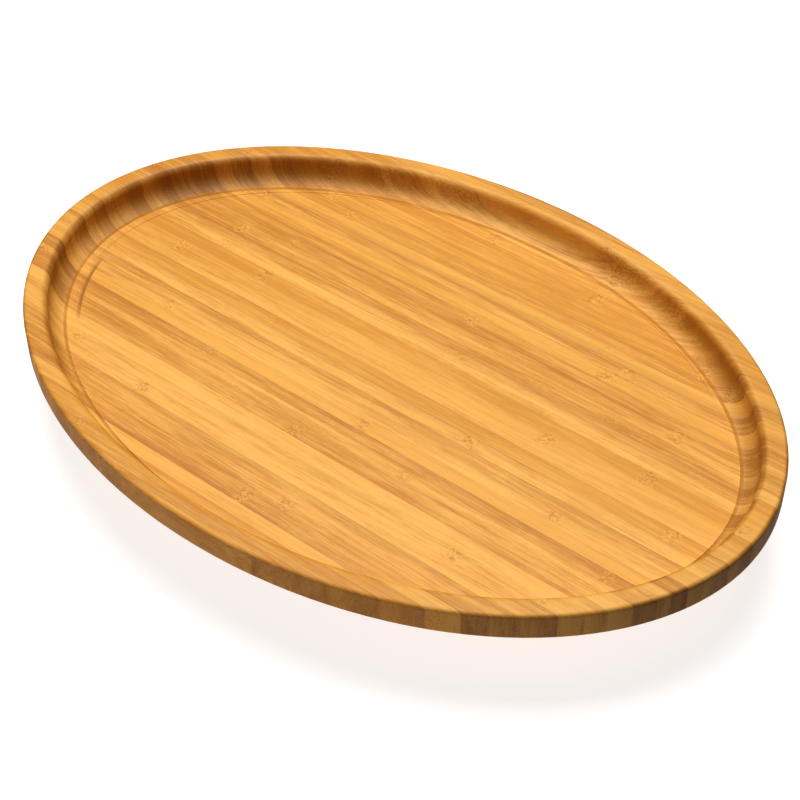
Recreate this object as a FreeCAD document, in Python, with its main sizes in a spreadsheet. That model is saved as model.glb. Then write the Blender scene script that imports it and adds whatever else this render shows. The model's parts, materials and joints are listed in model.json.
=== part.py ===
import FreeCAD, Part
import math
import os
import Sketcher

# Oval bamboo lazy susan. Millimetres, +Z up, +X along the long axis of the tray.
# The origin is on the surface that the feet stand on, below the centre of rotation.
#
# From the bottom up: rubber feet, a round bamboo base disc, a stamped-steel ball-bearing
# swivel, and the oval tray that turns on it.

NODE_FOLDER = "parts"

DIMENSIONS = [
    # tray: one board with a flat rim, a coved wall and a flat floor
    ("tray_length", 406, "long axis of the oval"),
    ("tray_width", 288, "short axis of the oval"),
    ("tray_thickness", 25, "board thickness"),
    ("wall_height", 13.4, "upright outer side, above the bevel of the underside"),
    ("rim_width", 11.8, "rim, from the outer side to the upright part of the inner wall"),
    ("rim_round", 1.8, "rounded outer edge of the rim"),
    ("lip_round", 3.4, "rounded edge between the rim and the inner wall"),
    ("bevel_round", 1, "eased edge between the upright side and the bevel"),
    ("floor_depth", 16.2, "rim top to floor"),
    ("cove_radius", 12.2, "hollow curve of the inner wall"),
    ("cove_sink", 1.15, "the curve would run this far below the floor to end level"),
    ("gutter", 0.9, "gap between the cove and the edge of the floor, a fine V-shaped groove"),
    ("skim_step", 0.15, "second pass over the floor, which stops short at the two ends"),
    ("skim_end_inset", 24.5, "outer side to the second pass, at the two ends"),
    ("skim_side_inset", 20, "outer side to the second pass, at the long sides"),
    # base disc
    ("base_radius", 105, "round base disc"),
    ("base_thickness", 12, "base disc board"),
    ("base_round", 2.5, "rounded edges of the base disc"),
    ("access_radius", 7, "hole for a screwdriver, to reach the screws of the tray"),
    # swivel
    ("swivel_height", 8, "base disc to tray"),
    ("sheet", 1.2, "steel sheet of the two plates"),
    ("plate_side", 102, "square plate"),
    ("plate_corner", 9, "corner radius of the plates"),
    ("hole_spacing", 82.6, "screw holes of a plate, along each side"),
    ("plate_hole_radius", 2.1, "screw hole in a plate"),
    ("race_rise", 1.7, "height of the pressed ring above the flat of a plate"),
    ("race_foot_radius", 43, "outer edge of the pressed ring"),
    ("race_slope_width", 2, "sloped side of the pressed ring"),
    ("slope_shift", 0.5, "underside of the slope, shifted to keep the sheet's thickness"),
    ("ball_radius", 2, "bearing ball"),
    ("ball_circle_radius", 35, "circle that the ball centres lie on"),
    ("ball_count", 24, "balls in the bearing"),
    ("ball_play", 0.1, "gap between a ball and each groove"),
    ("groove_radius", 2.3, "cross-section radius of the ball grooves"),
    ("cage_thickness", 0.8, "ball cage sheet"),
    ("cage_half_width", 4.2, "half the width of the cage ring"),
    ("pocket_play", 0.2, "radial gap between a ball and its pocket"),
    ("hub_radius", 20, "outside of the eyelet that the tray turns about"),
    ("hub_play", 0.08, "running clearance of the upper plate on the eyelet"),
    ("hub_flange", 4.5, "width of the eyelet's two flanges"),
    ("hub_lift_play", 0.25, "gap between the upper plate and the eyelet's top flange"),
    # screws
    ("head_radius", 3.4, "pan head"),
    ("head_rise", 1.8, "height of the head"),
    ("head_dome", 1.1, "rounding of the head"),
    ("thread_radius", 1.75, "over the thread"),
    ("root_radius", 1.25, "under the thread"),
    ("thread_pitch", 1.3, "thread spacing"),
    ("point_length", 2.2, "pointed end"),
    ("slot_width", 0.95, "arm of the cross recess"),
    ("slot_span", 3.9, "cross recess, end to end"),
    ("slot_depth", 1, "depth of the cross recess"),
    ("pilot_play", 0.05, "gap between a thread and its hole in the wood"),
    ("pilot_spare", 0.5, "hole below a screw's tip"),
    ("tray_screw_length", 8, "swivel to tray"),
    ("base_screw_length", 10, "swivel to base disc"),
    ("foot_screw_length", 12, "foot to base disc"),
    # feet
    ("foot_height", 5, "rubber foot"),
    ("foot_top_radius", 9.5, "against the base disc"),
    ("foot_bottom_radius", 8, "on the table"),
    ("foot_round", 1, "rounded bottom edge"),
    ("foot_circle_radius", 88, "circle that the feet stand on"),
    ("recess_radius", 4.7, "recess for the washer and screw head"),
    ("recess_depth", 3.2, "depth of that recess"),
    ("washer_radius", 4.5, "foot washer"),
    ("washer_thickness", 0.8, "foot washer"),
    ("washer_hole_radius", 2, "hole in the washer and the rubber"),
]

SCREWS_PER_PLATE = 4
FOOT_COUNT = 4
FIRST_CORNER = 45
LEVELS = {
    "base": "Dims.foot_height",
    "swivel": "Dims.foot_height + Dims.base_thickness",
    "tray": "Dims.foot_height + Dims.base_thickness + Dims.swivel_height",
}
SCREW_CIRCLE = "Dims.hole_spacing / sqrt(2)"

doc = FreeCAD.newDocument("LazySusan")
dims = doc.addObject("Spreadsheet::Sheet", "Dims")
for row, (alias, size, meaning) in enumerate(DIMENSIONS, start=1):
    dims.set(f"A{row}", meaning)
    dims.set(f"B{row}", str(size))
    dims.setAlias(f"B{row}", alias)
doc.recompute()


# ---------------------------------------------------------------- sketches


def size_of(expression):
    """Value of an expression in the sheet's dimensions, in millimetres or degrees."""
    return float(dims.evalExpression(expression))


def new_body(label, level="0", x="0", y="0"):
    """Empty body with its own label, lifted to its place in the stack."""
    body = doc.addObject("PartDesign::Body", label)
    body.Label = label
    body.setExpression("Placement.Base.x", x)
    body.setExpression("Placement.Base.y", y)
    body.setExpression("Placement.Base.z", level)
    return body


def origin_plane(body, role):
    return next(item for item in body.Origin.OriginFeatures if item.Role == role)


def new_sketch(body, name, role="XY_Plane", lift="0"):
    """Empty sketch on one of the body's own origin planes, lifted along its normal."""
    sketch = body.newObject("Sketcher::SketchObject", name)
    sketch.AttachmentSupport = [(origin_plane(body, role), "")]
    sketch.MapMode = "FlatFace"
    sketch.setExpression("AttachmentOffset.Base.z", lift)
    return sketch


def constrain(sketch, expression, *rule):
    """Dimension of a sketch that follows an expression."""
    index = sketch.addConstraint(Sketcher.Constraint(*rule, size_of(expression)))
    sketch.setExpression(f"Constraints[{index}]", expression)


def add_circle(sketch, radius, x="0", y="0"):
    centre = FreeCAD.Vector(size_of(x), size_of(y), 0)
    circle = Part.Circle(centre, FreeCAD.Vector(0, 0, 1), size_of(radius))
    index = sketch.addGeometry(circle)
    constrain(sketch, x, "DistanceX", -1, 1, index, 3)
    constrain(sketch, y, "DistanceY", -1, 1, index, 3)
    constrain(sketch, radius, "Radius", index)


def add_ellipse(sketch, length, width):
    """Ellipse about the origin with its long axis along X."""
    shape = Part.Ellipse(FreeCAD.Vector(), size_of(length) / 2, size_of(width) / 2)
    ellipse = sketch.addGeometry(shape)
    sketch.exposeInternalGeometry(ellipse)
    long_axis = ellipse + 1
    short_axis = ellipse + 2
    sketch.addConstraint(Sketcher.Constraint("Coincident", ellipse, 3, -1, 1))
    sketch.addConstraint(Sketcher.Constraint("Horizontal", long_axis))
    constrain(sketch, length, "Distance", long_axis)
    constrain(sketch, width, "Distance", short_axis)


def arc_between(start, end, radius):
    """Short arc from start to end; a positive radius puts its centre on the left."""
    chord = end - start
    middle = start + chord * 0.5
    left = FreeCAD.Vector(-chord.y, chord.x, 0).normalize()
    rise = math.sqrt(radius ** 2 - (chord.Length / 2) ** 2)
    centre = middle + left * math.copysign(rise, radius)
    circle = Part.Circle(centre, FreeCAD.Vector(0, 0, 1), abs(radius))
    ends = (start, end) if radius > 0 else (end, start)
    angles = [math.atan2(point.y - centre.y, point.x - centre.x) for point in ends]
    return Part.ArcOfCircle(circle, *angles)


def add_outline(sketch, corners):
    """Closed outline through corners (x, y), each an expression.

    A corner (x, y, radius, side) bends the run to the next corner: side is 1 where the
    arc's centre is on the left of the run and -1 where it is on the right.
    """
    points = [FreeCAD.Vector(size_of(corner[0]), size_of(corner[1]), 0) for corner in corners]
    ends = []
    for corner, start, end in zip(corners, points, points[1:] + points[:1]):
        if len(corner) == 2:
            index = sketch.addGeometry(Part.LineSegment(start, end))
            ends.append((index, 1, 2))
            continue
        _, _, radius, side = corner
        index = sketch.addGeometry(arc_between(start, end, side * size_of(radius)))
        ends.append((index, 1, 2) if side > 0 else (index, 2, 1))
        constrain(sketch, radius, "Radius", index)
    for (index, first, _), (before, _, last) in zip(ends, ends[-1:] + ends[:-1]):
        sketch.addConstraint(Sketcher.Constraint("Coincident", before, last, index, first))
    for corner, (index, first, _) in zip(corners, ends):
        constrain(sketch, corner[0], "DistanceX", -1, 1, index, first)
        constrain(sketch, corner[1], "DistanceY", -1, 1, index, first)


# ---------------------------------------------------------------- features


def pad(body, sketch, length, name="Pad"):
    feature = body.newObject("PartDesign::Pad", name)
    feature.Profile = sketch
    feature.setExpression("Length", length)
    doc.recompute()
    return feature


def pocket(body, sketch, depth, upward=False, name="Pocket"):
    """Cut the sketch into the body, and make sure that it removed something."""
    volume_before = body.Shape.Volume
    feature = body.newObject("PartDesign::Pocket", name)
    feature.Profile = sketch
    feature.Reversed = upward
    feature.setExpression("Length", depth)
    doc.recompute()
    if body.Shape.Volume >= volume_before:
        raise RuntimeError(f"{body.Label}: {name} cut nothing")
    return feature


def revolve(body, sketch, name="Revolution"):
    """Turn a section drawn on the XZ plane about the vertical axis."""
    feature = body.newObject("PartDesign::Revolution", name)
    feature.Profile = sketch
    feature.ReferenceAxis = (sketch, ["V_Axis"])
    feature.Angle = 360
    doc.recompute()
    return feature


def repeat_around(body, feature, count):
    """Copies of a feature, evenly spaced about the vertical axis."""
    pattern = body.newObject("PartDesign::PolarPattern", "Pattern")
    pattern.Originals = [feature]
    pattern.Axis = (origin_plane(body, "Z_Axis"), [""])
    pattern.Angle = 360
    pattern.setExpression("Occurrences", count)
    body.Tip = pattern
    doc.recompute()
    return pattern


def edge_names(shape, wanted):
    names = [f"Edge{number}" for number, edge in enumerate(shape.Edges, 1) if wanted(edge)]
    if not names:
        raise RuntimeError("no edge matches")
    return names


def dress(body, kind, size, wanted, name):
    """Fillet or chamfer the edges of the body's last feature that the test accepts."""
    base = body.Tip
    feature = body.newObject(f"PartDesign::{kind}", name)
    feature.Base = (base, edge_names(base.Shape, wanted))
    feature.setExpression("Radius" if kind == "Fillet" else "Size", size)
    doc.recompute()
    return feature


def level_ring(height, half_length=None):
    """Test for a flat closed edge at a height, and if given with a half length along X."""
    z = size_of(height)

    def wanted(edge):
        box = edge.BoundBox
        flat_here = abs(box.ZMin - z) < 0.01 and abs(box.ZMax - z) < 0.01
        return flat_here and (half_length is None or abs(box.XMax - size_of(half_length)) < 0.05)

    return wanted


# ---------------------------------------------------------------- bamboo


def pilot_holes(body, circle, length, through, count, first_angle, lift="0", upward=True):
    """Blind holes for screws, in a circle; through is what the screw passes first."""
    sketch = new_sketch(body, "PilotSketch", lift=lift)
    x = f"{circle} * cos({first_angle})"
    y = f"{circle} * sin({first_angle})"
    add_circle(sketch, "Dims.thread_radius + Dims.pilot_play", x, y)
    depth = f"{length} - {through} + Dims.pilot_spare"
    repeat_around(body, pocket(body, sketch, depth, upward, "Pilot"), str(count))


def make_tray():
    """Oval board: bevelled underside, upright side, flat rim, coved wall, stepped floor."""
    body = new_body("tray", LEVELS["tray"])
    outline = new_sketch(body, "OutlineSketch")
    add_ellipse(outline, "Dims.tray_length", "Dims.tray_width")
    pad(body, outline, "Dims.tray_thickness", "Board")

    bevel = "Dims.tray_thickness - Dims.wall_height"
    dress(body, "Chamfer", bevel, level_ring("0"), "UndersideBevel")

    dish = new_sketch(body, "DishSketch", lift="Dims.tray_thickness")
    add_ellipse(dish, "Dims.tray_length - 2 * Dims.rim_width",
                "Dims.tray_width - 2 * Dims.rim_width")
    pocket(body, dish, "Dims.floor_depth + Dims.cove_sink", name="Dish")

    cove_foot = "Dims.tray_thickness - Dims.floor_depth - Dims.cove_sink"
    dress(body, "Fillet", "Dims.cove_radius", level_ring(cove_foot), "Cove")
    dress(body, "Fillet", "Dims.rim_round",
          level_ring("Dims.tray_thickness", "Dims.tray_length / 2"), "RimRound")
    dress(body, "Fillet", "Dims.lip_round",
          level_ring("Dims.tray_thickness", "Dims.tray_length / 2 - Dims.rim_width"), "LipRound")
    dress(body, "Fillet", "Dims.bevel_round",
          level_ring(bevel, "Dims.tray_length / 2"), "BevelRound")

    floor = new_sketch(body, "FloorSketch", lift=cove_foot)
    reach = "sqrt(Dims.cove_radius ^ 2 - (Dims.cove_radius - Dims.cove_sink) ^ 2)"
    edge_inset = f"2 * (Dims.rim_width + Dims.cove_radius - {reach} + Dims.gutter)"
    add_ellipse(floor, f"Dims.tray_length - {edge_inset}", f"Dims.tray_width - {edge_inset}")
    pad(body, floor, "Dims.cove_sink", "Floor")

    skim = new_sketch(body, "SkimSketch", lift="Dims.tray_thickness - Dims.floor_depth")
    add_ellipse(skim, "Dims.tray_length - 2 * Dims.skim_end_inset",
                "Dims.tray_width - 2 * Dims.skim_side_inset")
    pocket(body, skim, "Dims.skim_step", name="FloorSkim")

    pilot_holes(body, SCREW_CIRCLE, "Dims.tray_screw_length", "Dims.sheet",
                SCREWS_PER_PLATE, FIRST_CORNER)
    return body


def make_base_disc():
    """Round board with rounded edges, an access hole and screw holes on both faces."""
    body = new_body("base_disc", LEVELS["base"])
    outline = new_sketch(body, "OutlineSketch")
    add_circle(outline, "Dims.base_radius")
    pad(body, outline, "Dims.base_thickness", "Board")
    dress(body, "Fillet", "Dims.base_round", lambda edge: edge.isClosed(), "EdgeRound")

    access = new_sketch(body, "AccessSketch", lift="Dims.base_thickness")
    add_circle(access, "Dims.access_radius", SCREW_CIRCLE)
    pocket(body, access, "Dims.base_thickness", name="Access")

    pilot_holes(body, SCREW_CIRCLE, "Dims.base_screw_length", "Dims.sheet",
                SCREWS_PER_PLATE, FIRST_CORNER, lift="Dims.base_thickness", upward=False)
    below_wood = "(Dims.foot_height - Dims.recess_depth + Dims.washer_thickness)"
    pilot_holes(body, "Dims.foot_circle_radius", "Dims.foot_screw_length", below_wood,
                FOOT_COUNT, FIRST_CORNER)
    return body


# ---------------------------------------------------------------- swivel


def race_section(bore_radius):
    """Section of a plate's pressed ring, flat side down: slope, crest and ball groove."""
    groove_rise = "(Dims.swivel_height / 2 - Dims.ball_radius - Dims.ball_play + Dims.groove_radius)"
    crest = "(Dims.race_rise + Dims.sheet)"
    outer_groove = "Dims.groove_radius + Dims.sheet"
    top_half = f"sqrt(Dims.groove_radius ^ 2 - ({groove_rise} - {crest}) ^ 2)"
    under_half = f"sqrt(({outer_groove}) ^ 2 - ({groove_rise} - Dims.race_rise) ^ 2)"
    centre = "Dims.ball_circle_radius"
    slope_top = "Dims.race_foot_radius - Dims.slope_shift"
    slope_under = "Dims.race_foot_radius - 2 * Dims.slope_shift"
    return [
        (bore_radius, "Dims.race_rise"),
        (f"{centre} - {under_half}", "Dims.race_rise", outer_groove, 1),
        (f"{centre} + {under_half}", "Dims.race_rise"),
        (f"{slope_under} - Dims.race_slope_width", "Dims.race_rise"),
        (slope_under, "0"),
        ("Dims.race_foot_radius", "0"),
        ("Dims.race_foot_radius", "Dims.sheet"),
        (slope_top, "Dims.sheet"),
        (f"{slope_top} - Dims.race_slope_width", crest),
        (f"{centre} + {top_half}", crest, "Dims.groove_radius", -1),
        (f"{centre} - {top_half}", crest),
        (bore_radius, crest),
    ]


def make_plate(label, level, bore_radius, upside_down):
    """Square stamped plate with a pressed ball race and four corner holes."""
    body = new_body(label, level)
    if upside_down:
        body.Placement.Rotation = FreeCAD.Rotation(FreeCAD.Vector(1, 0, 0), 180)
        body.setExpression("Placement.Base.z", level)
    flange = new_sketch(body, "FlangeSketch")
    half = "Dims.plate_side / 2"
    add_outline(flange, [(f"-{half}", f"-{half}"), (half, f"-{half}"),
                         (half, half), (f"-{half}", half)])
    add_circle(flange, "Dims.race_foot_radius")
    pad(body, flange, "Dims.sheet", "Flange")
    reach = size_of(f"{half} * sqrt(2)") - 1
    dress(body, "Fillet", "Dims.plate_corner",
          lambda edge: math.hypot(edge.CenterOfMass.x, edge.CenterOfMass.y) > reach, "Corners")

    race = new_sketch(body, "RaceSketch", "XZ_Plane")
    add_outline(race, race_section(bore_radius))
    revolve(body, race, "Race")

    hole = new_sketch(body, "HoleSketch", lift="Dims.sheet")
    corner = "Dims.hole_spacing / 2"
    add_circle(hole, "Dims.plate_hole_radius", corner, corner)
    repeat_around(body, pocket(body, hole, "Dims.sheet", name="CornerHole"),
                  str(SCREWS_PER_PLATE))
    return body


def make_hub_eyelet():
    """Ring that clamps the lower plate and keeps the upper plate from lifting off."""
    body = new_body("hub_eyelet", LEVELS["swivel"])
    wall = "Dims.hub_radius - Dims.sheet"
    rim = "Dims.hub_radius + Dims.hub_flange"
    low = "Dims.race_rise - Dims.sheet"
    high = "Dims.swivel_height - Dims.race_rise + Dims.hub_lift_play"
    sketch = new_sketch(body, "EyeletSketch", "XZ_Plane")
    add_outline(sketch, [
        (wall, low),
        (rim, low),
        (rim, "Dims.race_rise"),
        ("Dims.hub_radius", "Dims.race_rise"),
        ("Dims.hub_radius", high),
        (rim, high),
        (rim, f"{high} + Dims.sheet"),
        (wall, f"{high} + Dims.sheet"),
    ])
    revolve(body, sketch, "Eyelet")
    inner = size_of(wall)
    dress(body, "Fillet", "Dims.sheet * 0.8",
          lambda edge: abs(edge.BoundBox.XMax - inner) < 0.01 and edge.isClosed(), "RolledEdges")
    return body


def make_ball_cage():
    """Flat ring with a round pocket for each ball."""
    level = f"{LEVELS['swivel']} + Dims.swivel_height / 2 - Dims.cage_thickness / 2"
    body = new_body("ball_cage", level)
    ring = new_sketch(body, "RingSketch")
    add_circle(ring, "Dims.ball_circle_radius + Dims.cage_half_width")
    add_circle(ring, "Dims.ball_circle_radius - Dims.cage_half_width")
    pad(body, ring, "Dims.cage_thickness", "Ring")
    hole = new_sketch(body, "PocketSketch", lift="Dims.cage_thickness")
    add_circle(hole, "Dims.ball_radius + Dims.pocket_play", "Dims.ball_circle_radius")
    repeat_around(body, pocket(body, hole, "Dims.cage_thickness", name="BallPocket"),
                  "Dims.ball_count")
    return body


def make_bearing_balls():
    """All balls of the bearing as one group of separate spheres."""
    balls = []
    for number in range(int(size_of("Dims.ball_count"))):
        ball = doc.addObject("Part::Sphere", f"Ball{number + 1}")
        angle = f"({number} * 360 / Dims.ball_count)"
        ball.setExpression("Radius", "Dims.ball_radius")
        ball.setExpression("Placement.Base.x", f"Dims.ball_circle_radius * cos({angle})")
        ball.setExpression("Placement.Base.y", f"Dims.ball_circle_radius * sin({angle})")
        balls.append(ball)
    group = doc.addObject("Part::Compound", "bearing_balls")
    group.Label = "bearing_balls"
    group.Links = balls
    group.setExpression("Placement.Base.z", f"{LEVELS['swivel']} + Dims.swivel_height / 2")
    return group


# ---------------------------------------------------------------- screws and feet


def screw_section(length):
    """Half section of a pan-head screw: head below zero, threaded shank above."""
    corners = [
        ("0", "-Dims.head_rise"),
        ("Dims.head_radius", "-Dims.head_rise"),
        ("Dims.head_radius", "0"),
        ("Dims.root_radius", "0"),
    ]
    threaded = size_of(f"{length} - Dims.point_length")
    turns = int(threaded / size_of("Dims.thread_pitch"))
    for turn in range(turns):
        corners.append(("Dims.root_radius", f"({turn} + 0.4) * Dims.thread_pitch"))
        corners.append(("Dims.thread_radius", f"({turn} + 0.7) * Dims.thread_pitch"))
    corners.append(("Dims.root_radius", f"{turns} * Dims.thread_pitch"))
    corners.append(("0", length))
    return corners


def make_screw(label, length, level, circle, angle, points_up):
    """Pan-head wood screw with a cross recess, its head resting at the given level."""
    body = new_body(label, level, f"{circle} * cos({angle})", f"{circle} * sin({angle})")
    if not points_up:
        rotation = FreeCAD.Rotation(FreeCAD.Vector(1, 0, 0), 180)
        body.Placement = FreeCAD.Placement(body.Placement.Base, rotation)
    section = new_sketch(body, "ScrewSketch", "XZ_Plane")
    add_outline(section, screw_section(length))
    revolve(body, section, "Screw")
    dress(body, "Fillet", "Dims.head_dome",
          level_ring("-Dims.head_rise", "Dims.head_radius"), "HeadDome")

    recess = new_sketch(body, "RecessSketch", lift="-Dims.head_rise")
    arm = "Dims.slot_width / 2"
    tip = "Dims.slot_span / 2"
    quarter = [(tip, f"-{arm}"), (tip, arm), (arm, arm), (arm, tip), (f"-{arm}", tip),
               (f"-{arm}", arm), (f"-{tip}", arm), (f"-{tip}", f"-{arm}"), (f"-{arm}", f"-{arm}"),
               (f"-{arm}", f"-{tip}"), (arm, f"-{tip}"), (arm, f"-{arm}")]
    add_outline(recess, quarter)
    pocket(body, recess, "Dims.slot_depth", upward=True, name="CrossRecess")
    return body


def make_foot(label, x, y):
    """Rubber foot: a low cone with a recess in the bottom for the screw and washer."""
    body = new_body(label, "0", x, y)
    ceiling = "Dims.recess_depth"
    section = new_sketch(body, "FootSketch", "XZ_Plane")
    add_outline(section, [
        ("Dims.recess_radius", "0"),
        ("Dims.foot_bottom_radius", "0"),
        ("Dims.foot_top_radius", "Dims.foot_height"),
        ("Dims.washer_hole_radius", "Dims.foot_height"),
        ("Dims.washer_hole_radius", ceiling),
        ("Dims.recess_radius", ceiling),
    ])
    revolve(body, section, "Foot")
    dress(body, "Fillet", "Dims.foot_round", level_ring("0", "Dims.foot_bottom_radius"), "Round")
    return body


def make_foot_washer(label, x, y):
    body = new_body(label, "Dims.recess_depth - Dims.washer_thickness", x, y)
    ring = new_sketch(body, "WasherSketch")
    add_circle(ring, "Dims.washer_radius")
    add_circle(ring, "Dims.washer_hole_radius")
    pad(body, ring, "Dims.washer_thickness", "Washer")
    return body


def make_all():
    """Every sub-part of the turntable, from the tray down to the feet."""
    upper_level = LEVELS["tray"]
    lower_level = LEVELS["swivel"]
    nodes = [
        make_tray(),
        make_base_disc(),
        make_plate("upper_swivel_plate", upper_level, "Dims.hub_radius + Dims.hub_play", True),
        make_plate("lower_swivel_plate", lower_level, "Dims.hub_radius", False),
        make_hub_eyelet(),
        make_ball_cage(),
        make_bearing_balls(),
    ]
    for number in range(SCREWS_PER_PLATE):
        angle = FIRST_CORNER + number * 360 // SCREWS_PER_PLATE
        nodes.append(make_screw(f"tray_screw_{number + 1}", "Dims.tray_screw_length",
                                f"{upper_level} - Dims.sheet", SCREW_CIRCLE, angle, True))
        nodes.append(make_screw(f"base_screw_{number + 1}", "Dims.base_screw_length",
                                f"{lower_level} + Dims.sheet", SCREW_CIRCLE, angle, False))
    for number in range(FOOT_COUNT):
        angle = FIRST_CORNER + number * 360 // FOOT_COUNT
        x = f"Dims.foot_circle_radius * cos({angle})"
        y = f"Dims.foot_circle_radius * sin({angle})"
        nodes.append(make_foot(f"foot_{number + 1}", x, y))
        nodes.append(make_foot_washer(f"foot_washer_{number + 1}", x, y))
        nodes.append(make_screw(f"foot_screw_{number + 1}", "Dims.foot_screw_length",
                                "Dims.recess_depth - Dims.washer_thickness",
                                "Dims.foot_circle_radius", angle, True))
    return nodes


def check_and_write(nodes):
    """Stop on any failed object or bad shape, then write one STEP file per node."""
    doc.recompute()
    for item in doc.Objects:
        if "Invalid" in item.State or "Error" in item.State:
            raise RuntimeError(f"{item.Label} failed: {item.State}")
    for node in nodes:
        if node.Shape.isNull() or not node.Shape.isValid():
            raise RuntimeError(f"{node.Label} has no valid shape")
    os.makedirs(NODE_FOLDER, exist_ok=True)
    for node in nodes:
        node.Shape.exportStep(os.path.join(NODE_FOLDER, f"{node.Label}.step"))
        box = node.Shape.BoundBox
        print(f"{node.Label}: {node.Shape.Volume:.1f} mm3, z {box.ZMin:.2f} to {box.ZMax:.2f}, "
              f"{len(node.Shape.Solids)} solid(s)")


check_and_write(make_all())
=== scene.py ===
import json
import math
from types import SimpleNamespace

import bpy
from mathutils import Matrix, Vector

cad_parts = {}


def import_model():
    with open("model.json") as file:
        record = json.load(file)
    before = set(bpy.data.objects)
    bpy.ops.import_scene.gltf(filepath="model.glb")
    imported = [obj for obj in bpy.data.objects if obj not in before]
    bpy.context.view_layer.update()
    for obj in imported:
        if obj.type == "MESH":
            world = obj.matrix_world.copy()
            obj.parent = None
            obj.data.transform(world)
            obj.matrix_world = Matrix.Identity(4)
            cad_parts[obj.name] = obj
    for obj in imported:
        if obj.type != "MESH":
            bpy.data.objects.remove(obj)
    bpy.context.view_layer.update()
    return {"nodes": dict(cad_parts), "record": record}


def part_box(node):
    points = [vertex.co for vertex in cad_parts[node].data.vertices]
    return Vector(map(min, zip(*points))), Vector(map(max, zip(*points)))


# Oval bamboo lazy susan. Metres, in the frame of the CAD model: +Z up, +X along the long
# axis of the tray, origin on the floor below the centre of rotation. The materials work in
# millimetres, in the same frame.

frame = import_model()
nodes = frame["nodes"]

MM = 0.001
_, tray_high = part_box("tray")
HALF_LENGTH = tray_high.x
HALF_WIDTH = tray_high.y
RIM_TOP = tray_high.z

# bamboo board, in millimetres
STRIP_WIDTH = 7.7
STRIP_UNEVENNESS = 0.4     # 0 for strips of one width, 1 for any width
INTERNODE = 236.0          # distance between the knuckles of a strip
KNUCKLE_SPREAD = 18.0      # square of the length over which a knuckle fades
BUTT_END = (-20.0, -180.0)  # the board gets darker from here to here, along X
GRAIN_RELIEF = 0.06        # height of the fibres and depth of the seams together
BASE_BOARD_SHIFT = 371.0   # the base disc is cut from another place in the board

# tool marks and painted shade on the tray, in millimetres; an inset is a distance from the outer
# side
FLOOR_LEVEL = 33.65
RIM_INSET = 11.0           # to the lip of the cove
GROOVE_OUTER = 18.35       # to the groove round the floor
GROOVE_INNER = 19.75       # to the floor
CRESCENT_END_INSET = 27.4      # to the crescent of painted shade along the cutter's step, at the ends
CRESCENT_SIDE_INSET = 25.4     # the same, at the long sides
CRESCENT_PLACE = (-161.0, -46.0)   # middle of the crescent
CRESCENT_REACH = 30.0          # half its length
COVE_TOP = 42.0            # height up to which the foot of the cove is sanded flatter
COVE_EASE = 2.9            # how much the sanding lifts the foot of the cove

BAMBOO_LIGHT = (0.93, 0.458, 0.077, 1)
BAMBOO_DEEP = (0.56, 0.195, 0.006, 1)
BAMBOO_TAWNY = (0.78, 0.322, 0.024, 1)
BAMBOO_DARK = (0.32, 0.091, 0.003, 1)
# dirt in the groove round the floor, with painted shade in its crease
GROOVE_DIRT_AND_SHADE = (0.42, 0.161, 0.017, 1)
OIL_AND_SHADE_TINT = (0.52, 0.47, 0.34, 1)    # darkening by the oiled finish the fibres drink, and painted shade on steep walls
SPANGLE = (0.86, 0.87, 0.88, 1)     # the brightest zinc crystals on plated steel
RUBBER_BLACK = (0.018, 0.018, 0.019, 1)
RUBBER_DUST = (0.07, 0.065, 0.06, 1)

# each random property of a strip has its own offset into the random numbers
TONE, HUE, SIDE, PHASE, LIFT, SEAM, KNUCKLE = 3.1, 11.7, 27.3, 41.9, 55.2, 68.4, 83.0

# studio, in metres
TABLE_SIZE = 12
TABLE_GLOW = 0.8           # the table top is lit from below, as for a product photograph
DOME_RADIUS = 5.8
SKY_STRENGTH = 0.05
CAMERA_LENS = 78.2         # millimetres, on a sensor 36 mm wide
CAMERA_TILT = 47.49        # degrees from looking straight down
CAMERA_TURN = 38.90        # degrees about +Z, from looking along +Y
CAMERA_PLACE = (1.980, -2.406, 2.681)   # from the centre of the rim, in half lengths


# ---------------------------------------------------------------- node graphs


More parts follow.
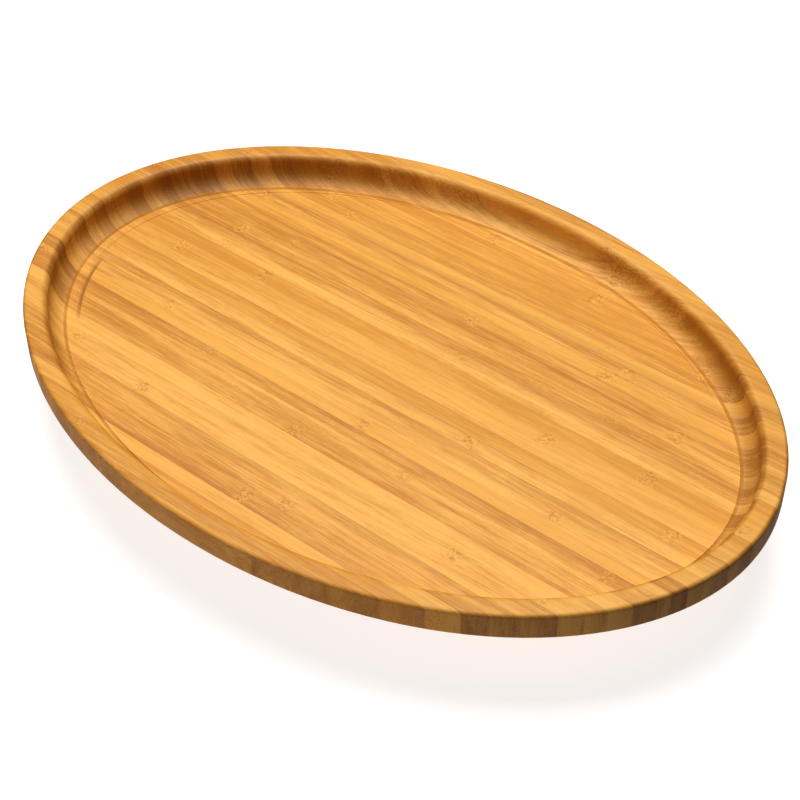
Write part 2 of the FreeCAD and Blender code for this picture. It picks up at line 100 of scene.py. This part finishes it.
class Graph:
    """Short names for the shader nodes that the materials below share."""

    def __init__(self, name):
        self.material = bpy.data.materials.new(name)
        self.material.use_nodes = True
        self.tree = self.material.node_tree
        self.shader = self.tree.nodes["Principled BSDF"]

    def node(self, kind, **settings):
        node = self.tree.nodes.new(kind)
        for key, value in settings.items():
            setattr(node, key, value)
        return node

    def put(self, socket, value):
        """Link a socket to another one, or set it to a constant."""
        if isinstance(value, bpy.types.NodeSocket):
            self.tree.links.new(value, socket)
        else:
            socket.default_value = value

    def surface(self, name, value):
        """Set an input of the surface shader."""
        self.put(self.shader.inputs[name], value)

    def math(self, operation, *values, clamp=False):
        node = self.node("ShaderNodeMath", operation=operation, use_clamp=clamp)
        for socket, value in zip(node.inputs, values):
            self.put(socket, value)
        return node.outputs[0]

    def add(self, first, *others):
        total = first
        for value in others:
            total = self.math("ADD", total, value)
        return total

    def sub(self, a, b):
        return self.math("SUBTRACT", a, b)

    def mul(self, first, *others):
        product = first
        for value in others:
            product = self.math("MULTIPLY", product, value)
        return product

    def magnitude(self, value):
        return self.math("ABSOLUTE", value)

    def ramp(self, value, low, high, start=0.0, end=1.0):
        """Smooth step from start to end as value goes from low to high."""
        node = self.node("ShaderNodeMapRange", interpolation_type="SMOOTHSTEP")
        for socket, setting in zip(node.inputs, (value, low, high, start, end)):
            self.put(socket, setting)
        return node.outputs[0]

    def vector(self, x, y, z):
        node = self.node("ShaderNodeCombineXYZ")
        for socket, value in zip(node.inputs, (x, y, z)):
            self.put(socket, value)
        return node.outputs[0]

    def parts(self, vector):
        """The x, y and z of a vector."""
        node = self.node("ShaderNodeSeparateXYZ")
        self.put(node.inputs[0], vector)
        return node.outputs

    def channels(self, colour):
        """The red, green and blue of a colour."""
        node = self.node("ShaderNodeSeparateColor")
        self.put(node.inputs[0], colour)
        return node.outputs

    def noise(self, vector, scale=1.0, detail=2.0, roughness=0.5, distortion=0.0, output="Fac"):
        node = self.node("ShaderNodeTexNoise")
        self.put(node.inputs["Vector"], vector)
        node.inputs["Scale"].default_value = scale
        node.inputs["Detail"].default_value = detail
        node.inputs["Roughness"].default_value = roughness
        node.inputs["Distortion"].default_value = distortion
        return node.outputs[output]

    def cells(self, place, feature="F1", dimensions="3D", scale=1.0, randomness=1.0):
        """Outputs of a Voronoi texture; place is a number in 1D, and else a vector."""
        node = self.node("ShaderNodeTexVoronoi", voronoi_dimensions=dimensions, feature=feature)
        self.put(node.inputs["W" if dimensions == "1D" else "Vector"], place)
        node.inputs["Scale"].default_value = scale
        node.inputs["Randomness"].default_value = randomness
        return node.outputs

    def random(self, seed, offset):
        """Random value from 0 to 1 for each value of seed."""
        node = self.node("ShaderNodeTexWhiteNoise", noise_dimensions="1D")
        self.put(node.inputs["W"], self.add(seed, offset))
        return node.outputs["Value"]

    def mix(self, factor, a, b, blend="MIX"):
        node = self.node("ShaderNodeMix", data_type="RGBA", blend_type=blend)
        self.put(node.inputs["Factor"], factor)
        self.put(node.inputs["A"], a)
        self.put(node.inputs["B"], b)
        return node.outputs["Result"]

    def position(self):
        """Object coordinates in millimetres, as a vector."""
        node = self.node("ShaderNodeVectorMath", operation="SCALE")
        self.put(node.inputs[0], self.node("ShaderNodeTexCoord").outputs["Object"])
        node.inputs["Scale"].default_value = 1 / MM
        return node.outputs[0]

    def normal(self):
        """The x, y and z of the surface's normal, in object coordinates."""
        return self.parts(self.node("ShaderNodeTexCoord").outputs["Normal"])

    def bump(self, height, distance, below=None):
        """Bump of a height that runs from 0 to 1; distance is its real height, in
        millimetres. A bump can lie on another one, given as below."""
        node = self.node("ShaderNodeBump")
        node.inputs["Distance"].default_value = distance * MM
        self.put(node.inputs["Height"], height)
        if below:
            self.put(node.inputs["Normal"], below)
        self.surface("Normal", node.outputs[0])
        return node.outputs[0]


# ---------------------------------------------------------------- tool marks and painted shade


def oval(g, x, y, half_length, half_width):
    """1 on the outline of an oval, less inside and more outside."""
    along = g.mul(x, 1 / half_length)
    across = g.mul(y, 1 / half_width)
    return g.add(g.mul(along, along), g.mul(across, across))


def inset_oval(g, x, y, end_inset, side_inset):
    """Oval inside the tray's outline, by its distance from it at the ends and at the sides."""
    return oval(g, x, y, HALF_LENGTH / MM - end_inset, HALF_WIDTH / MM - side_inset)


def groove_dirt_and_shade(g, x, y, above):
    """Oil and dust in the fine groove round the floor, in patches, with painted shade in the
    crease.
    """
    patchy = g.noise(g.vector(g.mul(x, 0.05), g.mul(y, 0.08), 0.0), detail=3.0)
    outer = inset_oval(g, x, y, GROOVE_OUTER, GROOVE_OUTER)
    inner = inset_oval(g, x, y, GROOVE_INNER, GROOVE_INNER)
    ring = g.mul(g.ramp(inner, 0.996, 1.002), g.ramp(outer, 0.998, 1.004, 1.0, 0.0))
    return g.mul(ring, above, g.ramp(patchy, 0.30, 0.60, 0.45, 1.0))


def step_shade_crescent(g, x, y, above):
    """Crescent of painted shade at the edge of the floor, along the step the cutter left where it
    dwelt.
    """
    edge = inset_oval(g, x, y, CRESCENT_END_INSET, CRESCENT_SIDE_INSET)
    ring = g.mul(g.ramp(edge, 0.998, 1.001), g.ramp(edge, 1.008, 1.038, 1.0, 0.0))
    centre_x, centre_y = CRESCENT_PLACE
    away = oval(g, g.sub(x, centre_x), g.sub(y, centre_y), CRESCENT_REACH, CRESCENT_REACH)
    return g.mul(ring, above, g.ramp(away, 0.1, 1.0, 1.0, 0.0))


def marks_and_painted_shade(g, x, y, z):
    """Marks on the tray's top, each with its strength and colour: dirt with painted shade in the
    groove, painted shade along the cutter's step, and last the rim, dulled by handling."""
    above = g.ramp(z, FLOOR_LEVEL - 2.0, FLOOR_LEVEL - 1.0)
    rim = g.ramp(z, RIM_TOP / MM - 3.5, RIM_TOP / MM - 0.1)
    return (
        # dirt with painted shade in the groove round the floor
        (groove_dirt_and_shade(g, x, y, above), 0.66, GROOVE_DIRT_AND_SHADE),
        # painted shade along the step the cutter left at the edge of the floor
        (step_shade_crescent(g, x, y, above), 0.85, BAMBOO_DARK),
        (rim, 0.07, BAMBOO_DARK),
    )


def sanded_foot(g, x, y, z):
    """The foot of the cove, which the sanding drum leaves flatter than the cutter did."""
    drop = g.sub(COVE_TOP, z)
    rise = g.math("MULTIPLY", drop, 1 / (COVE_TOP - FLOOR_LEVEL), clamp=True)
    inside = g.ramp(inset_oval(g, x, y, RIM_INSET, RIM_INSET), 0.999, 1.001, 1.0, 0.0)
    return g.bump(g.mul(rise, rise, inside), COVE_EASE)


# ---------------------------------------------------------------- bamboo


def glued_strips(g, y):
    """One random cell per strip, and what belongs to the strip: its number, its neighbour's,
    the distance to the seam, random properties, and how near the culm's skin a point is."""
    across = g.mul(y, 1 / STRIP_WIDTH)
    own, beside, border = (
        g.cells(across, feature, "1D", randomness=STRIP_UNEVENNESS)
        for feature in ("F1", "F2", "DISTANCE_TO_EDGE")
    )
    number = own["W"]
    skin_side = g.math("GREATER_THAN", g.random(number, SIDE), 0.5)
    flip = g.sub(g.mul(skin_side, 2.0), 1.0)
    return SimpleNamespace(
        number=number,
        neighbour=beside["W"],
        to_seam=g.mul(border["Distance"], STRIP_WIDTH),
        tone=g.random(number, TONE),
        hue=g.random(number, HUE),
        phase=g.random(number, PHASE),
        lift=g.random(number, LIFT),
        culm_skin=g.add(g.mul(g.sub(across, number), flip), 0.5),
    )


def glue_seams(g, x, y, z, strips):
    """Thin dark seams between the strips; the two strips' numbers add up to the seam's."""
    strength = g.random(g.add(strips.number, strips.neighbour), SEAM)
    waver = g.noise(g.vector(g.mul(x, 0.04), y, z), detail=3.0)
    line = g.ramp(g.add(strips.to_seam, g.mul(waver, -0.3)), -0.10, 0.32, 1.0, 0.0)
    fade = g.noise(g.vector(g.mul(x, 0.013), g.mul(y, 0.09), g.mul(z, 0.1)), detail=1.0)
    return g.mul(line, g.ramp(strength, 0.45, 1.0, 0.05, 1.0), g.ramp(fade, 0.38, 0.60, 0.25, 1.0))


def knuckles(g, x, y, z, strips):
    """One patch per internode on every strip, where the fibres swirl, with its dark curls
    and its light ones."""
    station = g.add(g.mul(x, 1 / INTERNODE), strips.phase)
    away = g.mul(g.sub(g.math("FRACT", station), 0.5), INTERNODE)
    seed = g.add(g.math("FLOOR", station), g.mul(strips.number, 5.3))
    strength = g.ramp(g.random(seed, KNUCKLE), 0.0, 0.75, 0.25, 1.0)
    patch = g.mul(g.math("EXPONENT", g.mul(away, away, -1 / KNUCKLE_SPREAD)), strength)
    curls = g.noise(g.vector(g.mul(x, 0.34), g.mul(y, 0.58), z), detail=1.2, distortion=1.5)
    dark = g.mul(patch, g.ramp(curls, 0.50, 0.60))
    light = g.mul(patch, g.ramp(curls, 0.50, 0.42))
    return patch, dark, light


def fibres(g, x, y, z, strips, knuckle):
    """Fibre bundles that run along X and slowly wander through the surface, and the wisps,
    streaks and stains that follow them."""
    swirl = g.noise(g.vector(g.mul(x, 0.22), g.mul(y, 0.34), g.mul(z, 0.2)))
    bend = g.mul(knuckle, g.sub(swirl, 0.5), 7.0)
    path = g.vector(g.mul(x, 0.011), g.mul(strips.number, 7.3), g.mul(z, 0.03))
    wander = g.channels(g.noise(path, output="Color"))
    y = g.add(y, bend, g.mul(wander[0], 3.0))
    deep = g.add(z, bend, g.mul(wander[1], 26.0))

    sections = g.cells(g.vector(g.mul(y, 1.5), g.mul(deep, 1.25), 0.0), "F1", "2D",
                       randomness=0.85)
    crowding = g.ramp(strips.culm_skin, 0.0, 1.0, 0.16, 0.36)
    bundle = g.ramp(g.sub(sections["Distance"], crowding), -0.06, 0.12, 1.0, 0.0)

    own = g.mul(strips.number, 17.9)

    def along(stretch, across, depth, **settings):
        place = g.vector(g.mul(x, stretch), g.mul(y, across), g.add(own, g.mul(z, depth)))
        return g.noise(place, **settings)

    return SimpleNamespace(
        bundle=bundle,
        wisp=along(0.020, 0.36, 0.04, detail=3.0),
        streak=along(0.055, 1.3, 0.12, detail=3.0, roughness=0.55),
        stain=g.ramp(along(0.016, 0.9, 0.2), 0.66, 0.76),
    )


def bamboo_colour(g, x, y, strips, grain, curls, seam):
    """Colour of a planed face: light to deep by strip and fibre, then the darker details."""
    patch, curl_dark, curl_light = curls
    drift = g.noise(g.vector(g.mul(x, 0.004), g.mul(y, 0.03), 0.0), detail=1.0)
    shade = g.add(
        g.mul(strips.tone, 0.47),
        g.mul(g.ramp(grain.wisp, 0.32, 0.68), 0.31),
        g.mul(g.ramp(grain.streak, 0.34, 0.70), 0.26),
        g.mul(g.sub(drift, 0.5), 0.5),
        g.mul(grain.bundle, 0.10),
        g.ramp(x, *BUTT_END, 0.0, 0.17),
    )
    colour = g.mix(g.ramp(shade, 0.18, 1.12), BAMBOO_LIGHT, BAMBOO_DEEP)
    skin = g.mul(g.ramp(strips.culm_skin, 0.2, 1.1), g.ramp(strips.lift, 0.2, 1.0, 0.04, 0.30))
    details = (
        (g.ramp(strips.hue, 0.5, 1.0, 0.0, 0.45), BAMBOO_TAWNY),
        (skin, BAMBOO_DARK),
        (g.mul(patch, 0.30), BAMBOO_TAWNY),
        (g.mul(curl_dark, 0.46), BAMBOO_DARK),
        (g.mul(curl_light, 0.45), BAMBOO_LIGHT),
        (g.mul(grain.stain, 0.42), BAMBOO_DARK),
        (g.mul(seam, 0.38), BAMBOO_DARK),
    )
    for amount, tint in details:
        colour = g.mix(amount, colour, tint)
    return colour


def oil_and_wall_shade(g, strips, steep, lengthwise, end_grain):
    """How much of the oiled finish a face has drunk, and painted shade on steep walls: more on
    cut walls and on the open ends of the fibres, and more in some strips than in others."""
    # painted shade on the steep walls, more in some strips than in others
    wall = g.mul(steep, g.ramp(strips.tone, 0.0, 1.0, 0.28, 0.72),
                 g.ramp(end_grain, 0.0, 1.0, 0.8, 1.0))
    ends = g.mul(g.ramp(lengthwise, 0.12, 0.60), g.ramp(strips.tone, 0.1, 0.9, 0.50, 0.90))
    return g.math("MAXIMUM", wall, ends)


def bamboo(name, shift, cut=False):
    """Side-pressed bamboo: glued strips along X with fibres, knuckles and faint seams. The
    tray's board has been cut into a dish."""
    g = Graph(name)
    x, tray_y, z = g.parts(g.position())
    marks = marks_and_painted_shade(g, x, tray_y, z) if cut else ()
    foot = sanded_foot(g, x, tray_y, z) if cut else None
    y = g.add(tray_y, shift)

    strips = glued_strips(g, y)
    seam = glue_seams(g, x, y, z, strips)
    curls = knuckles(g, x, y, z, strips)
    patch, curl_dark, _ = curls
    grain = fibres(g, x, y, z, strips, patch)
    colour = bamboo_colour(g, x, y, strips, grain, curls, seam)

    normal = g.normal()
    lengthwise = g.magnitude(normal[0])
    end_grain = g.ramp(lengthwise, 0.15, 0.95)
    steep = g.ramp(g.magnitude(normal[2]), 0.35, 0.92, 1.0, 0.0)
    oil_and_shade = oil_and_wall_shade(g, strips, steep, lengthwise, end_grain)
    # the oiled finish in the fibre ends, and painted shade on the steep walls, darken the colour
    colour = g.mix(oil_and_shade, colour, OIL_AND_SHADE_TINT, "MULTIPLY")
    colour = g.mix(g.mul(steep, grain.bundle, 0.30), colour, BAMBOO_DARK)
    # dirt with painted shade in the groove, painted shade at the cutter's step, and wear on the
    # rim
    for mark, strength, tint in marks:
        colour = g.mix(g.mul(mark, strength), colour, tint)
    g.surface("Base Color", colour)

    rough = g.add(g.mul(grain.streak, 0.16), g.mul(grain.bundle, 0.06),
                  g.mul(end_grain, 0.06), 0.46)
    if cut:
        groove = marks[0][0]
        rough = g.add(rough, g.mul(groove, 0.4))
    g.surface("Roughness", rough)
    g.surface("Specular IOR Level", 0.36)

    height = g.sub(g.mul(strips.lift, 0.35), g.mul(seam, 0.35))
    height = g.add(height, g.mul(grain.bundle, g.add(g.mul(end_grain, 0.5), 0.22)))
    height = g.add(height, g.mul(grain.streak, 0.35))
    height = g.sub(height, g.mul(curl_dark, 0.3))
    g.bump(height, GRAIN_RELIEF, foot)
    return g.material


# ---------------------------------------------------------------- steel and rubber


def metal(name, colour, roughness, grain=0.0, spangle=0.0):
    """Plated or bare steel with fine drawn lines, cloudy plating and a zinc spangle."""
    g = Graph(name)
    place = g.position()
    x, y, z = g.parts(place)
    lines = g.noise(g.vector(g.mul(x, 0.06), g.mul(y, 6.0), g.mul(z, 6.0)), detail=3.0)
    cloud = g.noise(place, scale=0.22, detail=4.0, roughness=0.6)
    crystal = g.channels(g.cells(place, scale=0.35)["Color"])[0]
    dark = tuple(channel * 0.62 for channel in colour)
    base = g.mix(g.ramp(cloud, 0.35, 0.75, 0.0, 0.5), (*colour, 1), (*dark, 1))
    g.surface("Base Color", g.mix(g.mul(crystal, spangle), base, SPANGLE))
    g.surface("Metallic", 1.0)
    g.surface("Roughness", g.add(g.mul(lines, grain), g.mul(cloud, 0.16), roughness))
    g.bump(g.add(g.mul(lines, grain), g.mul(cloud, 0.4)), 0.02)
    return g.material


def rubber(name):
    """Black moulded rubber with a fine sparked texture and dust on it."""
    g = Graph(name)
    place = g.position()
    texture = g.noise(place, scale=3.2, detail=3.0, roughness=0.6)
    dust = g.noise(place, scale=0.3, detail=5.0, roughness=0.7)
    g.surface("Base Color", g.mix(g.ramp(dust, 0.45, 0.8, 0.0, 0.5), RUBBER_BLACK, RUBBER_DUST))
    g.surface("Roughness", g.add(g.mul(texture, 0.2), 0.58))
    g.bump(texture, 0.08)
    return g.material


MATERIALS = {
    "tray_bamboo": bamboo("tray_bamboo", 0.0, cut=True),
    "base_bamboo": bamboo("base_bamboo", BASE_BOARD_SHIFT),
    "swivel_plate": metal("swivel_plate", (0.62, 0.63, 0.65), 0.26, grain=0.12, spangle=0.35),
    "hub_eyelet": metal("hub_eyelet", (0.66, 0.66, 0.67), 0.22, grain=0.10, spangle=0.15),
    "ball_cage": metal("ball_cage", (0.50, 0.50, 0.51), 0.34, grain=0.16),
    "bearing_ball": metal("bearing_ball", (0.78, 0.78, 0.79), 0.08),
    "screw": metal("screw", (0.68, 0.67, 0.64), 0.24, grain=0.05),
    "foot_rubber": rubber("foot_rubber"),
    "foot_washer": metal("foot_washer", (0.62, 0.62, 0.62), 0.3, grain=0.05),
}


def dress(node, material):
    """Give a CAD node its finish."""
    mesh = nodes[node].data
    mesh.materials.clear()
    mesh.materials.append(material)


for part in frame["record"]["subparts"]:
    dress(part["node"], MATERIALS[part["material_slot"]])


# ---------------------------------------------------------------- floor, light and camera


def glow(piece, g):
    """Make a piece of the studio glow for the camera, while only the lamps light the object."""
    g.surface("Emission Color", (1, 1, 1, 1))
    g.surface("Emission Strength", TABLE_GLOW)
    piece.data.materials.append(g.material)
    piece.visible_diffuse = False
    piece.visible_glossy = False


def floor():
    """Plain white table top."""
    bpy.ops.mesh.primitive_plane_add(size=TABLE_SIZE)
    plane = bpy.context.object
    plane.name = "floor"
    g = Graph("floor_white")
    mottle = g.noise(g.position(), scale=0.01, detail=3.0)
    g.surface("Base Color", g.mix(mottle, (0.40, 0.40, 0.40, 1), (0.42, 0.42, 0.42, 1)))
    g.surface("Roughness", 0.9)
    glow(plane, g)


def backdrop():
    """Pale dome round the scene, as bright as the far end of the table top."""
    bpy.ops.mesh.primitive_uv_sphere_add(segments=64, ring_count=32, radius=DOME_RADIUS)
    dome = bpy.context.object
    dome.name = "backdrop"
    dome.visible_shadow = False
    g = Graph("backdrop_white")
    g.surface("Base Color", (0, 0, 0, 1))
    g.surface("Specular IOR Level", 0.0)
    glow(dome, g)


def lamp(name, place, target, size, power, colour=(1, 1, 1)):
    """Square soft box aimed at a point."""
    light = bpy.data.lights.new(name, "AREA")
    light.shape = "SQUARE"
    light.size = size
    light.energy = power
    light.color = colour
    box = bpy.data.objects.new(name, light)
    box.location = place
    box.rotation_euler = (Vector(target) - Vector(place)).to_track_quat("-Z", "Y").to_euler()
    box.visible_camera = False
    bpy.context.scene.collection.objects.link(box)


def lamps():
    """A large soft box behind the tray, and weak ones for its underside and near side."""
    lamp("key", (-0.45, 0.45, 2.2), (0, 0, 0.03), 1.3, 61)
    lamp("table", (-0.25, -0.25, 0.001), (-0.25, -0.25, 1), 1.0, 2.0, (1, 0.91, 0.80))
    lamp("side", (-0.63, -1.36, 0.30), (0, 0, 0.04), 0.7, 4.5, (1, 0.95, 0.88))


def world():
    """Faint even light from all sides."""
    sky = bpy.data.worlds.new("studio")
    sky.use_nodes = True
    background = sky.node_tree.nodes["Background"]
    background.inputs["Color"].default_value = (1, 1, 1, 1)
    background.inputs["Strength"].default_value = SKY_STRENGTH
    bpy.context.scene.world = sky


def camera():
    """Camera in front of the near long side, looking down at the tray."""
    data = bpy.data.cameras.new("camera")
    data.sensor_width = 36
    data.lens = CAMERA_LENS
    eye = bpy.data.objects.new("camera", data)
    across, back, up = (part * HALF_LENGTH for part in CAMERA_PLACE)
    eye.location = (across, back, RIM_TOP + up)
    eye.rotation_euler = (math.radians(CAMERA_TILT), 0, math.radians(CAMERA_TURN))
    bpy.context.scene.collection.objects.link(eye)
    bpy.context.scene.camera = eye


bpy.context.scene.view_settings.view_transform = "Standard"
floor()
backdrop()
world()
lamps()
camera()
